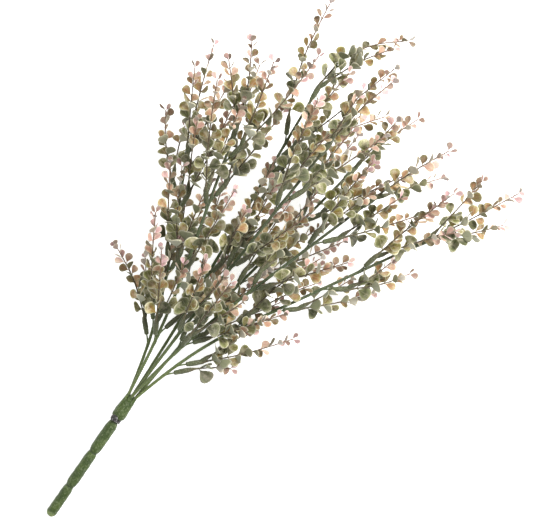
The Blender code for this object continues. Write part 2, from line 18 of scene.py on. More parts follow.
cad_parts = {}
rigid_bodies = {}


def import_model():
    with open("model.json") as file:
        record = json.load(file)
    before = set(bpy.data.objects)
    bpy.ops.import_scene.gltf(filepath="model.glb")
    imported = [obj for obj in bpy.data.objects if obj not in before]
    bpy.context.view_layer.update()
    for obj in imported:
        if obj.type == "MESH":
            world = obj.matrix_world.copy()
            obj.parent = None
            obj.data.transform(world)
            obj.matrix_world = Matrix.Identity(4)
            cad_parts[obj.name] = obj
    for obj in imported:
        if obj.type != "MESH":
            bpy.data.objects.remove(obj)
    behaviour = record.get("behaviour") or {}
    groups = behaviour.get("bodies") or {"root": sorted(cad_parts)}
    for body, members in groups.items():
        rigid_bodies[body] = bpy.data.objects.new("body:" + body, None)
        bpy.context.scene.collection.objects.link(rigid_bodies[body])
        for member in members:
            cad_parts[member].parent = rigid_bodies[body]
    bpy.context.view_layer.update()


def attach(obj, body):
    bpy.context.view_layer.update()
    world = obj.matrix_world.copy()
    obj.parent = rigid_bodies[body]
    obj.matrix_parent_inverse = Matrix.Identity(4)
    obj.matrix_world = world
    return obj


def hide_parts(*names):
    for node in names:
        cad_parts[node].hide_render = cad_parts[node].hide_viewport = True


for startup in list(bpy.data.objects):
    bpy.data.objects.remove(startup)
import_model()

# ---------------------------------------------------------------- driving dimensions, in metres and degrees

CLEARANCE = 0.0003  # between any two pieces that fit into or pass each other

HANDLE_RADIUS = 0.0051
HANDLE_SECTION = 0.0390  # one of the handle's moulded sections, from waist to waist
LOWEST_SECTION = 0.0345  # the lowest one, which is cut shorter
HANDLE_SECTIONS = 3
NECK_RADIUS = 0.0036
CROWN_RADIUS = 0.0065
CROWN_LENGTH = 0.0235
HANDLE_PITCH = 6.5  # how steeply the handle climbs from the table to the foliage

WIRE_RADIUS = 0.0006
WIRE_TURNS = 2
WIRE_PITCH = 2 * WIRE_RADIUS + CLEARANCE
NECK_LENGTH = WIRE_TURNS * WIRE_PITCH + 2 * WIRE_RADIUS  # the bare neck under the crown, which the wire fills

SOCKET_CIRCLE = 0.0041  # radius of the ring of sockets round the middle one
SOCKET_DEPTH = 0.0080
ROOT_RADIUS = 0.0010  # the branch where it sits in its socket
BRANCH_RADIUS = 0.0018
BRANCH_TIP_RADIUS = 0.0013
BRANCH_BEND = 0.150  # length over which a branch turns to its own heading
LEAVING_TURN = 0.5  # how much of that turn it has made already where it leaves the crown
BRANCH_STEP = 0.024

PEG_RADIUS = 0.0007
PEG_LENGTH = 0.0060  # the part of a peg that is inside a sleeve
SPREAD = 26.0  # angle between a peg and its branch
FORK = 0.55  # where a side twig leaves its sleeve, as a share of the sleeve's length
FORK_SPREAD = 24.0
FORK_TILT = 12.0  # how much more than its sprig a side twig rises on the left, and less on the right
SIDE_SHARE = 0.80  # a side twig's length as a share of what is left of its sprig
SLEEVE_LENGTH = 0.021
SLEEVE_MOUTH_RADIUS = 0.0019
SLEEVE_RADIUS = 0.0024
TWIG_RADIUS = 0.0008
TWIG_TIP_RADIUS = 0.0005
TWIG_STEP = 0.028
TWIG_BEND = 0.85  # how much of its length a twig takes to turn to its own heading
FINE_STEP = 0.004  # the step of the path that a twig's stations are read from
SIDE_SLEEVE = 0.75 * SLEEVE_LENGTH  # the length of a side twig's own swelling
SIDE_START = 0.8 * SLEEVE_LENGTH  # where a side twig's leaves start

LEAF_LENGTH = 0.0142  # the lowest leaves of a sprig
LEAF_TIP_LENGTH = 0.0080  # the ones at its tip
LEAF_WIDTH_SHARE = 0.92  # a leaf's width as a share of its length
LEAF_TIP_WIDTH_SHARE = 0.62
LEAF_THICKNESS = 0.0011
LEAF_SPACING = 0.0142  # from one pair of leaves to the next
LEAF_FORWARD = 52.0  # angle between the lowest leaves and their twig
LEAF_TIP_FORWARD = 36.0
LEAF_TURN = 58.0  # how far a leaf may turn on its own axis to face up
LEAF_ROOM = 0.0006  # kept free on each face of a leaf

TABLE_GAP = 0.0022  # a stem's centre stays this far above the table
SETTLE_LENGTH = 0.040  # a stem that comes down flattens out over about this length
SEED = 11

# ---------------------------------------------------------------- the design: branches and their sprigs

# Headings turn left from the handle's own line and rises lift from the table, both in degrees. A branch
# lists its sprigs as (distance along the branch, heading and rise that the sprig ends with, its length,
# and how far to the left each of its side twigs ends). A distance of END is the branch's tip.
END = -1.0
Branch = namedtuple("Branch", "heading rise length sprigs")

BRANCHES = (
    Branch(25, 5, 0.215, (
        (0.050, 64, 4, 0.086, -26), (0.066, 28, 18, 0.102, -18), (0.112, 14, -6, 0.090, 16),
        (0.122, 30, 24, 0.094), (0.172, 8, 18, 0.104, 14), (0.182, 33, 4, 0.076, -16),
        (END, 18, 6, 0.112, 9, -12))),
    Branch(14, 14, 0.252, (
        (0.056, 28, 34, 0.090, -16), (0.064, -4, 6, 0.092), (0.116, 27, 10, 0.096, -15),
        (0.124, 2, 34, 0.096), (0.186, 24, 26, 0.116, -14), (0.194, -2, 0, 0.094, 15),
        (0.232, -3, 16, 0.116, 16), (END, 31, 10, 0.088, -16, 12))),
    Branch(4, 8, 0.315, (
        (0.078, 20, -6, 0.090), (0.120, 16, 2, 0.094), (0.130, -12, 26, 0.094, 16),
        (0.190, -10, -4, 0.100, 16), (0.236, -36, -6, 0.112, 14), (0.252, -18, 20, 0.126, 10),
        (0.270, 7, 10, 0.121), (END, -50, 2, 0.106, 12))),
    Branch(-4, 18, 0.285, (
        (0.072, 12, 40, 0.086, -18), (0.080, -18, 4, 0.090), (0.146, 8, 6, 0.100, -16),
        (0.154, -20, 36, 0.094), (0.220, 8, 28, 0.104, -16), (0.230, -20, 4, 0.096, 15),
        (END, -16, 12, 0.086, 14))),
    Branch(-10, 3, 0.278, (
        (0.060, 4, -6, 0.090), (0.068, -32, 8, 0.088, 18), (0.136, 0, 20, 0.096, -16),
        (0.144, -32, -6, 0.092, -12), (0.212, -4, -6, 0.100, 14), (0.220, -30, 18, 0.100, 14),
        (END, -22, 4, 0.084, 14))),
    Branch(-18, 11, 0.275, (
        (0.062, -4, 34, 0.088, -16), (0.070, -36, 10, 0.086), (0.148, -6, 2, 0.098, -16),
        (0.150, -38, 28, 0.090), (0.210, -6, 24, 0.096, -14), (0.220, -36, 4, 0.096, 14),
        (END, -26, 10, 0.088, -12))),
    Branch(-30, 5, 0.292, (
        (0.036, -60, 0, 0.052), (0.050, -37, 4, 0.100, 20), (0.112, -24, 8, 0.096, -12),
        (0.152, -40, -4, 0.082, 18), (0.200, -33, 4, 0.072, 20), (0.236, -18, 18, 0.104, -24),
        (END, -26, 7, 0.102, 22, -14))),
)

# ---------------------------------------------------------------- directions, paths and room


def direction(heading, rise):
    """The unit vector of a heading and a rise."""
    turn, lift = math.radians(heading), math.radians(rise)
    return Vector((math.cos(turn) * math.cos(lift), math.sin(turn) * math.cos(lift), math.sin(lift)))


def smooth(share):
    """0 to 1 with a level start and end."""
    share = min(1.0, max(0.0, share))
    return share * share * (3 - 2 * share)


def mix(first, last, share):
    return first + (last - first) * share


def bent_path(start, first, last, length, straight, bend, step):
    """Points of a stem that starts along first and, after a straight foot, turns to last within bend.

    A stem that comes down to the table flattens out along it.
    """
    count = max(2, round(length / step))
    points = [start.copy()]
    for i in range(count):
        along = (i + 0.5) / count * length
        turned = first.slerp(last, smooth((along - straight) / bend))
        if along > straight:
            turned.z = max(turned.z, (TABLE_GAP - points[-1].z) / SETTLE_LENGTH)
        points.append(points[-1] + turned.normalized() * (length / count))
    return points


def find_on(points, distance):
    """Which stretch of the path that distance falls on, and how far along it, as a share."""
    for index, (before, after) in enumerate(zip(points, points[1:])):
        piece = (after - before).length
        if distance <= piece or index == len(points) - 2:
            return index, distance / piece
        distance -= piece


def place_on(points, distance):
    """The point that far along the path, and the path's direction there."""
    index, share = find_on(points, distance)
    before, after = points[index:index + 2]
    return before.lerp(after, share), (after - before).normalized()


def path_length(points):
    return sum((after - before).length for before, after in zip(points, points[1:]))


def square_to(axis):
    """A unit vector square to the axis, as level as it can be."""
    level = axis.cross(Vector((0, 0, 1)))
    return level.normalized() if level.length > 1e-6 else Vector((0, 1, 0))


class Room:
    """What is already in place, so that the next stem or leaf can be kept clear of it."""

    CELL = max(BRANCH_STEP, TWIG_STEP) / 2 + LEAF_LENGTH  # shapes that can meet have middles nearer than this

    def __init__(self):
        self.cells = {}

    def cell(self, corners):
        return tuple(int(c // self.CELL) for c in sum(corners, Vector()) / len(corners))

    def add(self, owner, corners, faces):
        tree = BVHTree.FromPolygons(corners, faces)
        self.cells.setdefault(self.cell(corners), []).append((owner, tree))

    def free(self, corners, faces, but=()):
        """True if nothing in place is cut by this shape, leaving out the owners named in but."""
        tree = BVHTree.FromPolygons(corners, faces)
        x, y, z = self.cell(corners)
        near = ((x + i, y + j, z + k) for i in (-1, 0, 1) for j in (-1, 0, 1) for k in (-1, 0, 1))
        for key in near:
            for owner, other in self.cells.get(key, ()):
                if owner not in but and tree.overlap(other):
                    return False
        return True


TUBE_SIDES = 12


def tube_shapes(points, radii, grow):
    """The corners and faces of each stretch of a prism round a tube that is made thicker by grow."""
    around = 1 / math.cos(math.pi / TUBE_SIDES)
    for (before, after), (r0, r1) in zip(zip(points, points[1:]), zip(radii, radii[1:])):
        axis = (after - before).normalized()
        side = square_to(axis)
        other = axis.cross(side)
        corners = []
        for end, radius in ((before, r0), (after, r1)):
            for i in range(TUBE_SIDES):
                turn = math.tau * i / TUBE_SIDES
                out = side * math.cos(turn) + other * math.sin(turn)
                corners.append(end + out * (radius + grow) * around)
        sides = [(i, (i + 1) % TUBE_SIDES, (i + 1) % TUBE_SIDES + TUBE_SIDES, i + TUBE_SIDES)
                 for i in range(TUBE_SIDES)]
        yield corners, sides + [tuple(range(TUBE_SIDES)), tuple(range(TUBE_SIDES, 2 * TUBE_SIDES))]


# ---------------------------------------------------------------- the layout: where every piece goes

Stem = namedtuple("Stem", "points radii")
Leaf = namedtuple("Leaf", "place length width")  # place: x along the leaf, z out of its upper face
# A sprig's foot: where its peg leaves the branch, and which way. owners and places: the stem that each leaf
# is on, and how far along it.
Sprig = namedtuple("Sprig", "name foot stems leaves owners places")


def handle_axis():
    """The handle's lower end and its direction."""
    return Vector((0, 0, HANDLE_RADIUS)), direction(0, HANDLE_PITCH)


def crown_bottom_height():
    """How far up the handle's own line its crown starts."""
    return LOWEST_SECTION + HANDLE_SECTION * (HANDLE_SECTIONS - 1)


def crown_top():
    start, axis = handle_axis()
    return start + axis * (crown_bottom_height() + CROWN_LENGTH)


def socket_places():
    """The mouths of the sockets: one in the middle, and six round it with two of them on each side."""
    _, axis = handle_axis()
    left = -square_to(axis)
    up = axis.cross(left)
    ring = {0: 330, 1: 30, 5: 90, 6: 150, 4: 210, 2: 270}
    places = {}
    for number in range(len(BRANCHES)):
        turn = math.radians(ring.get(number, 0))
        reach = SOCKET_CIRCLE if number in ring else 0
        places[number] = crown_top() + (left * math.cos(turn) + up * math.sin(turn)) * reach
    return places


def lay_branch(number):
    """The branch's own path: its root in the socket, then the turn to its heading."""
    branch = BRANCHES[number]
    _, axis = handle_axis()
    mouth = socket_places()[number]
    bottom = mouth - axis * (SOCKET_DEPTH - CLEARANCE)
    last = direction(branch.heading, branch.rise)
    free = bent_path(mouth + axis * 0.001, axis.slerp(last, LEAVING_TURN), last, branch.length,
                     0.0, BRANCH_BEND, BRANCH_STEP)
    points = [bottom, mouth, *free]
    radii = [ROOT_RADIUS, ROOT_RADIUS]
    radii += [mix(BRANCH_RADIUS, BRANCH_TIP_RADIUS, i / (len(free) - 1)) for i in range(len(free))]
    return Stem(points, radii)


def twig_radius(along, length):
    """A sprig's radius: a spindle-shaped sleeve at its foot, then a thin twig."""
    if along < SLEEVE_LENGTH:
        share = along / SLEEVE_LENGTH
        end = mix(SLEEVE_MOUTH_RADIUS, TWIG_RADIUS, share)
        return end + (SLEEVE_RADIUS - SLEEVE_MOUTH_RADIUS + share * (SLEEVE_MOUTH_RADIUS - TWIG_RADIUS)) \
            * math.sin(math.pi * share)
    return mix(TWIG_RADIUS, TWIG_TIP_RADIUS, (along - SLEEVE_LENGTH) / (length - SLEEVE_LENGTH))


def twig_stations(length, foot):
    """Distances along a stem: those of its foot, then even steps to its tip."""
    twigs = max(2, round((length - foot[-1]) / TWIG_STEP))
    return foot + [mix(foot[-1], length, (i + 1) / twigs) for i in range(twigs)]


def sprig_stem(foot, first, last, length):
    """The sprig from the mouth of its sleeve: three short stretches for the sleeve, then the twig."""
    fine = bent_path(foot, first, last, length, PEG_LENGTH, TWIG_BEND * length, FINE_STEP)
    stations = twig_stations(length, [0.0, 0.32 * SLEEVE_LENGTH, 0.68 * SLEEVE_LENGTH, SLEEVE_LENGTH])
    return Stem([place_on(fine, s)[0] for s in stations], [twig_radius(s, length) for s in stations])


def lean_out(along, last, angle):
    """The direction that leaves the line along by that angle, in radians, to the side of last."""
    side = last - along * last.dot(along)
    return along * math.cos(angle) + side.normalized() * math.sin(angle)


def side_stem(main, last, length):
    """A side twig: from inside the main sleeve, through a shorter swelling of its own, to its tip."""
    foot, along = place_on(main.points, FORK * SLEEVE_LENGTH)
    first = lean_out(along, last, math.radians(FORK_SPREAD))
    fine = bent_path(foot, first, last, length, 0.4 * SLEEVE_LENGTH, TWIG_BEND * length, FINE_STEP)
    stations = twig_stations(length, [0.0, 0.35 * SLEEVE_LENGTH, SIDE_SLEEVE])
    twigs = len(stations) - 3
    radii = [TWIG_RADIUS, 0.85 * SLEEVE_RADIUS, TWIG_RADIUS]
    radii += [mix(TWIG_RADIUS, TWIG_TIP_RADIUS, (i + 1) / twigs) for i in range(twigs)]
    return Stem([place_on(fine, s)[0] for s in stations], radii)


# Other ways for a twig that meets what is in place: what is added to its heading and rise, and its
# length's share, and the other places along the branch for its peg.
STEM_SIDES = ((0, 1), (0, -1), (1, 0), (-1, 0), (1, 1), (-1, 1), (1, -1), (-1, -1))
STEM_DETOURS = [(0, 0, 1.0)] + [(size * across, size * up, share) for share in (1.0, 0.85)
                                for size in (5, 10, 15, 21, 28, 36) for across, up in STEM_SIDES]
STEM_SHIFTS = (0.0, 0.008, -0.008, 0.016, -0.016)


def clear_stem(stem, room, neighbour=None):
    """True if the stem meets nothing. Its foot may come closer to the neighbour that it is fitted to."""
    if min(p.z for p in stem.points) < TABLE_GAP / 2:
        return False
    wide = list(tube_shapes(stem.points, stem.radii, 1.5 * CLEARANCE))
    close = next(tube_shapes(stem.points, stem.radii, CLEARANCE / 4))
    foot = neighbour is None or (room.free(*wide[0], but=(neighbour,)) and room.free(*close))
    return foot and all(room.free(*shape) for shape in wide[0 if neighbour is None else 1:])


def lay_sprig(branch_stem, row, room, own_branch):
    """The sprig's foot and stems, by the first way that is clear."""
    distance, heading, rise, length, *forks = row
    free = branch_stem.points[2:]
    ways = [(shift, *way) for shift in (STEM_SHIFTS if distance != END else (0.0,)) for way in STEM_DETOURS]
    for shift, turn, lift, share in ways:
        if distance == END:
            at = free[-1]
            along = (at - free[-2]).normalized()
            reach, spread = CLEARANCE, 0.0
        else:
            at, along = place_on(free, distance + shift)
            spread = math.radians(SPREAD)
            reach = (BRANCH_RADIUS + SLEEVE_MOUTH_RADIUS + CLEARANCE) / math.sin(spread)
        last = direction(heading + turn, rise + lift)
        first = lean_out(along, last, spread)
        stem = sprig_stem(at + first * reach, first, last, length * share)
        if clear_stem(stem, room, own_branch):
            break
    stems = [stem]
    for fork in forks:
        tilt = math.copysign(FORK_TILT, fork)
        for turn, lift, share in STEM_DETOURS:
            last = direction(heading + fork + turn, rise + tilt + lift)
            twig = side_stem(stem, last, (length - FORK * SLEEVE_LENGTH) * SIDE_SHARE * share)
            if clear_stem(twig, room):
                break
        stems.append(twig)
    return (at, first), stems


LEAF_SIDES = 4
FOOT_DEPTH = 0.35  # how far out in the twig a leaf's foot starts, as a share of the twig's radius


def unit_leaf():
    """Corners and faces of a leaf one long and one wide: a low four-sided cone, its foot at the origin."""
    cage = bmesh.new()
    bmesh.ops.create_cone(cage, cap_ends=True, segments=LEAF_SIDES, radius1=1.0, radius2=0.0, depth=1.0)
    bmesh.ops.remove_doubles(cage, verts=cage.verts, dist=1e-6)
    bmesh.ops.rotate(cage, verts=cage.verts, matrix=Matrix.Rotation(math.radians(-90), 3, "Z"))
    low = min(v.co.x for v in cage.verts)
    long = max(v.co.x for v in cage.verts) - low
    wide = 2 * max(v.co.y for v in cage.verts)
    cage.verts.index_update()
    corners = [Vector((((v.co.x - low) / long) ** 0.75, v.co.y / wide, v.co.z + 0.42)) for v in cage.verts]
    faces = [tuple(v.index for v in face.verts) for face in cage.faces]
    cage.free()
    return corners, faces


UNIT_CORNERS, UNIT_FACES = unit_leaf()


def leaf_corners(leaf, grow=0.0):
    """The corners and faces of a leaf, made larger by grow on every side."""
    long, wide, thick = leaf.length + 2 * grow, leaf.width + 2 * grow, LEAF_THICKNESS + 2 * grow
    corners = [leaf.place @ Vector((c.x * long - grow, c.y * wide, c.z * thick - grow)) for c in UNIT_CORNERS]
    return corners, UNIT_FACES


def leaf_place(at, along, radial, forward, twist):
    """The matrix of a leaf that leaves the twig sideways along radial, leaning forward."""
    lean = math.radians(forward)
    x = along * math.cos(lean) + radial * math.sin(lean)
    y = along.cross(radial)
    z = x.cross(y)
    turned = Matrix.Rotation(math.radians(twist), 3, x)
    place = Matrix((x, turned @ y, turned @ z)).transposed().to_4x4()
    place.translation = at
    return place


def turn_up(along, radial, forward):
    """How far a leaf on that side of its twig turns on its own axis to face up, in degrees."""
    flat = leaf_place(Vector(), along, radial, forward, 0)
    turn = math.degrees(math.atan2(-flat[2][1], flat[2][2]))
    if abs(turn) > 125:
        return 0.0
    return max(-LEAF_TURN, min(LEAF_TURN, turn))


# Other ways for a leaf: what is added to its roll round the twig, its lean and its twist, and its size.
LEAF_DETOURS = [(0, 0, 0, 1.0)] + [(roll, lean, twist, 1.0) for roll in (0, 14, -14, 28, -28)
                                   for lean in (0, -14, 14, -26) for twist in (0, 28, -28)]
LEAF_DETOURS += [(roll, lean, 0, size) for size in (0.85, 0.7, 0.55) for roll in (0, 20, -20, 40, -40)
                 for lean in (0, -20, 16)]


def pair_places(stem, start):
    """How far along the stem each pair of leaves is."""
    length = path_length(stem.points)
    pairs = max(2, 1 + round((length - start - 0.001) / LEAF_SPACING))
    return [mix(start + 0.002, length - 0.0006, pair / (pairs - 1)) for pair in range(pairs)]


def lay_leaves(owner, stem, start, room, dice):
    """Pairs of leaves up the twig, each square to the last, smaller and closer to the twig at the tip."""
    distances = pair_places(stem, start)
    roll = dice.uniform(0, 90)
    leaves, places = [], []
    for pair, distance in enumerate(distances):
        share = pair / (len(distances) - 1)
        at, along = place_on(stem.points, distance)
        side = square_to(along)
        depth = FOOT_DEPTH * mix(TWIG_RADIUS, TWIG_TIP_RADIUS, share)
        for half in (0, 180):
            size = mix(LEAF_LENGTH, LEAF_TIP_LENGTH, share ** 0.9) * dice.uniform(0.86, 1.12)
            width = mix(LEAF_WIDTH_SHARE, LEAF_TIP_WIDTH_SHARE, share) * dice.uniform(0.88, 1.06)
            lean = mix(LEAF_FORWARD, LEAF_TIP_FORWARD, share) + dice.uniform(-9, 9)
            around = roll + 90 * pair + half + dice.uniform(-14, 14)
            twist = turn_up(along, Matrix.Rotation(math.radians(around), 3, along) @ side, lean)
            twist += dice.uniform(-20, 20)
            # A leaf with no way clear is left out.
            for more_roll, more_lean, more_twist, scale in LEAF_DETOURS:
                radial = Matrix.Rotation(math.radians(around + more_roll), 3, along) @ side
                place = leaf_place(at + radial * depth, along, radial, lean + more_lean, twist + more_twist)
                leaf = Leaf(place, size * scale, size * scale * width)
                corners, faces = leaf_corners(leaf, LEAF_ROOM)
                if min(c.z for c in corners) > 0 and room.free(corners, faces, but=(owner, (*owner, pair))):
                    room.add((*owner, pair), corners, faces)
                    leaves.append(leaf)
                    places.append(distance)
                    break
    return leaves, places


def lay_out():
    """Every branch and sprig, stems first and leaves after, so that no leaf is in a stem's way."""
    room = Room()
    branches, stems, sprigs = [lay_branch(number) for number in range(len(BRANCHES))], [], []

    def fill(owner, points, radii):
        for shape in tube_shapes(points, radii, 0.0):
            room.add(owner, *shape)

    for number, stem in enumerate(branches, 1):
        fill(f"branch_{number}", *stem)
    for number, branch in enumerate(BRANCHES, 1):
        for count, row in enumerate(branch.sprigs, 1):
            name = f"branch_{number}_sprig_{count}"
            foot, own = lay_sprig(branches[number - 1], row, room, f"branch_{number}")
            fill((name, 0), [foot[0], own[0].points[0]], [PEG_RADIUS] * 2)
            for index, stem in enumerate(own):
                fill((name, index), *stem)
            stems.append((name, foot, own))
    for index, (name, foot, own) in enumerate(stems):
        dice = random.Random(SEED + index)
        sprig = Sprig(name, foot, own, [], [], [])
        for side, stem in enumerate(own):
            leaves, places = lay_leaves((name, side), stem, SIDE_START if side else SLEEVE_LENGTH, room, dice)
            sprig.leaves.extend(leaves)
            sprig.places.extend(places)
            sprig.owners.extend([side] * len(leaves))
        sprigs.append(sprig)
    return branches, sprigs


def settle(branches, sprigs):
    """The matrix that lays the whole bush on the table: tipped until its own weight holds it still, and
    moved so that it stands on z = 0 with its box centred on the origin."""
    start, _ = handle_axis()
    points = [start, start - Vector((0, 0, HANDLE_RADIUS))]
    loads = [(crown_top().lerp(start, 0.5), math.pi * HANDLE_RADIUS ** 2 * crown_bottom_height())]
    for stem in branches + [stem for sprig in sprigs for stem in sprig.stems]:
        for before, after, radius in zip(stem.points, stem.points[1:], stem.radii):
            loads.append((before.lerp(after, 0.5), math.pi * radius ** 2 * (after - before).length))
            points.append(after - Vector((0, 0, radius)))
    for sprig in sprigs:
        for leaf in sprig.leaves:
            corners, _ = leaf_corners(leaf)
            points += corners
            loads.append((corners[0], leaf.length * leaf.width * LEAF_THICKNESS / 6))
    middle = sum((at * load for at, load in loads), Vector()) / sum(load for _, load in loads)
    hull = bmesh.new()
    for point in points:
        hull.verts.new(point)
    bmesh.ops.convex_hull(hull, input=hull.verts)
    tip = Matrix.Identity(4)
    for face in hull.faces:
        if face.normal.z < -0.8 and holds(face, middle):
            tip = face.normal.rotation_difference(Vector((0, 0, -1))).to_matrix().to_4x4()
    hull.free()
    tipped = [tip @ point for point in points]
    low = [min(p[i] for p in tipped) for i in range(3)]
    high = [max(p[i] for p in tipped) for i in range(3)]
    return Matrix.Translation((-(low[0] + high[0]) / 2, -(low[1] + high[1]) / 2, -low[2])) @ tip


def holds(face, middle):
    """True if a weight at middle, pressing square to the face, lands inside it."""
    corners = [v.co for v in face.verts]
    ends = zip(corners, corners[1:] + corners[:1])
    return all((after - before).cross(middle - before).dot(face.normal) > 0 for before, after in ends)


# ---------------------------------------------------------------- smooth lines through the stems

def spline_point(points, index, t):
    """A point of the smooth curve through the points, the share t of the way past points[index]."""
    p1, p2 = points[index], points[index + 1]
    p0 = points[index - 1] if index > 0 else 2 * p1 - p2
    p3 = points[index + 2] if index + 2 < len(points) else 2 * p2 - p1
    return 0.5 * (2 * p1 + (p2 - p0) * t + (2 * p0 - 5 * p1 + 4 * p2 - p3) * t * t
                  + (3 * p1 - p0 - 3 * p2 + p3) * t ** 3)


def spline_shift(points, distance):
    """How far the smooth curve is from the straight path, that far along it."""
    index, share = find_on(points, distance)
    return spline_point(points, index, share) - points[index].lerp(points[index + 1], share)


def curve_samples(points, step):
    """The smooth curve through the points, one sample about every step: (point, distance along the path)."""
    samples = []
    done = 0.0
    for index, (before, after) in enumerate(zip(points, points[1:])):
        piece = (after - before).length
        count = max(1, round(piece / step))
        for i in range(count):
            share = i / count
            samples.append((spline_point(points, index, share), done + share * piece))
        done += piece
    samples.append((points[-1].copy(), done))
    return samples


# ---------------------------------------------------------------- meshes gathered part by part


TABLE_ROOM = 0.0008  # below this height a shape is pressed flat, so that none of it goes through the table


def show(name, data):
    """A new object in the scene, holding the data."""
    obj = bpy.data.objects.new(name, data)
    bpy.context.scene.collection.objects.link(obj)
    return obj


class Body:
    """Corners, faces and per-corner values, gathered part by part into one mesh."""

    def __init__(self):
        self.corners, self.faces, self.slots = [], [], []
        self.leaf, self.tone = [], []
        self.count = 0

    def add(self, corners, faces, slot, leaf, tone):
        corners = np.asarray(corners, float)
        self.corners.append(corners)
        self.faces += [tuple(self.count + i for i in face) for face in faces]
        self.slots += [slot] * len(faces)
        self.leaf.append(np.broadcast_to(np.asarray(leaf, float), corners.shape))
        self.tone.append(np.broadcast_to(np.asarray(tone, float), corners.shape))
        self.count += len(corners)

    def make(self, node, materials, move):
        """The finished piece, which takes the place of the plain solid of that node."""
        corners = np.concatenate(self.corners)
        corners = corners @ np.array(move)[:3, :3].T + np.array(move)[:3, 3]
        low = corners[:, 2] < TABLE_ROOM
        corners[low, 2] = TABLE_ROOM * np.exp(corners[low, 2] / TABLE_ROOM - 1)
        mesh = bpy.data.meshes.new(node + "_look")
        mesh.from_pydata(corners.tolist(), [], self.faces)
        for label, values in (("leaf", self.leaf), ("tone", self.tone)):
            layer = mesh.attributes.new(label, "FLOAT_VECTOR", "POINT")
            layer.data.foreach_set("vector", np.concatenate(values).astype(np.float32).ravel())
        for material in materials:
            mesh.materials.append(material)
        mesh.polygons.foreach_set("material_index", self.slots)
        mesh.polygons.foreach_set("use_smooth", [True] * len(mesh.polygons))
        mesh.update()
        obj = show(node + "_look", mesh)
        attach(obj, "root")
        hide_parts(node)


def tube_faces(rings, sides):
    """The faces between each ring and the next, and from the two end rings to the hubs that follow them."""
    turns = [(i, (i + 1) % sides) for i in range(sides)]
    faces = [(ring + i, ring + j, ring + sides + j, ring + sides + i)
             for ring in range(0, (rings - 1) * sides, sides) for i, j in turns]
    last = (rings - 1) * sides
    faces += [(j, i, last + sides) for i, j in turns]
    return faces + [(last + i, last + j, last + sides + 1) for i, j in turns]


def tube(body, points, radii, sides, slot, tones, rough, seed):
    """A rough round stem along the points, closed with small domes.

    radii and tones: one for the whole stem, or one for each point.
    """
    radii = np.broadcast_to(radii, len(points))
    tones = np.broadcast_to(tones, (len(points), 3))
    corners = []
    side = square_to((points[1] - points[0]).normalized())
    for index, (point, radius) in enumerate(zip(points, radii)):
        ahead = (points[min(index + 1, len(points) - 1)] - points[max(index - 1, 0)]).normalized()
        side = (side - ahead * side.dot(ahead)).normalized()
        other = ahead.cross(side)
        for i in range(sides):
            turn = math.tau * i / sides
            out = side * math.cos(turn) + other * math.sin(turn)
            place = (point + out * radius) * 900 + Vector((seed, 0, 0))
            corners.append(point + out * (radius * (1 + rough * noise.noise(place))))
    for ring, near in ((0, 1), (-1, -2)):
        corners.append(points[ring] + (points[ring] - points[near]).normalized() * radii[ring] * 0.6)
    tones = np.concatenate([np.repeat(tones, sides, 0), tones[[0, -1]]])
    body.add([tuple(c) for c in corners], tube_faces(len(points), sides), slot, (0, 0, 0), tones)


# ---------------------------------------------------------------- a leaf

# Rows across a leaf: (how far along it, half its width there, its thickness in mm).
LEAF_ROWS = (
    (0.0, 0.050, 0.95), (0.08, 0.055, 0.80), (0.16, 0.10, 0.62), (0.26, 0.30, 0.54), (0.38, 0.60, 0.50),
    (0.51, 0.86, 0.48), (0.64, 1.0, 0.45), (0.77, 0.98, 0.42), (0.88, 0.79, 0.38), (0.955, 0.52, 0.34),
    (1.0, 0.17, 0.26))
LEAF_COLUMNS = (-1.0, -0.72, -0.38, -0.08, 0.08, 0.38, 0.72, 1.0)
MIDRIB_DEPTH = 0.00013
LEAF_LIFT = 0.00035  # how far a leaf's middle lies above the flat back of its solid


def leaf_template():
    """Grid values and faces of a leaf: an upper and a lower sheet that share their rim."""
    rows, columns = len(LEAF_ROWS), len(LEAF_COLUMNS)
    upper, lower, faces, values = {}, {}, [], []
    for side, index in ((1, upper), (-1, lower)):
        for i in range(rows):
            for j in range(columns):
                rim = i in (0, rows - 1) or j in (0, columns - 1)
                if side < 0 and rim:
                    lower[i, j] = upper[i, j]
                    continue
                index[i, j] = len(values)
                values.append((i, j, 0 if rim else side))
    for index, order in ((upper, -1), (lower, 1)):
        for i in range(rows - 1):
            for j in range(columns - 1):
                face = (index[i, j], index[i + 1, j], index[i + 1, j + 1], index[i, j + 1])
                faces.append(face[::order])
    return np.array(values), faces


LEAF_GRID, LEAF_FACES = leaf_template()


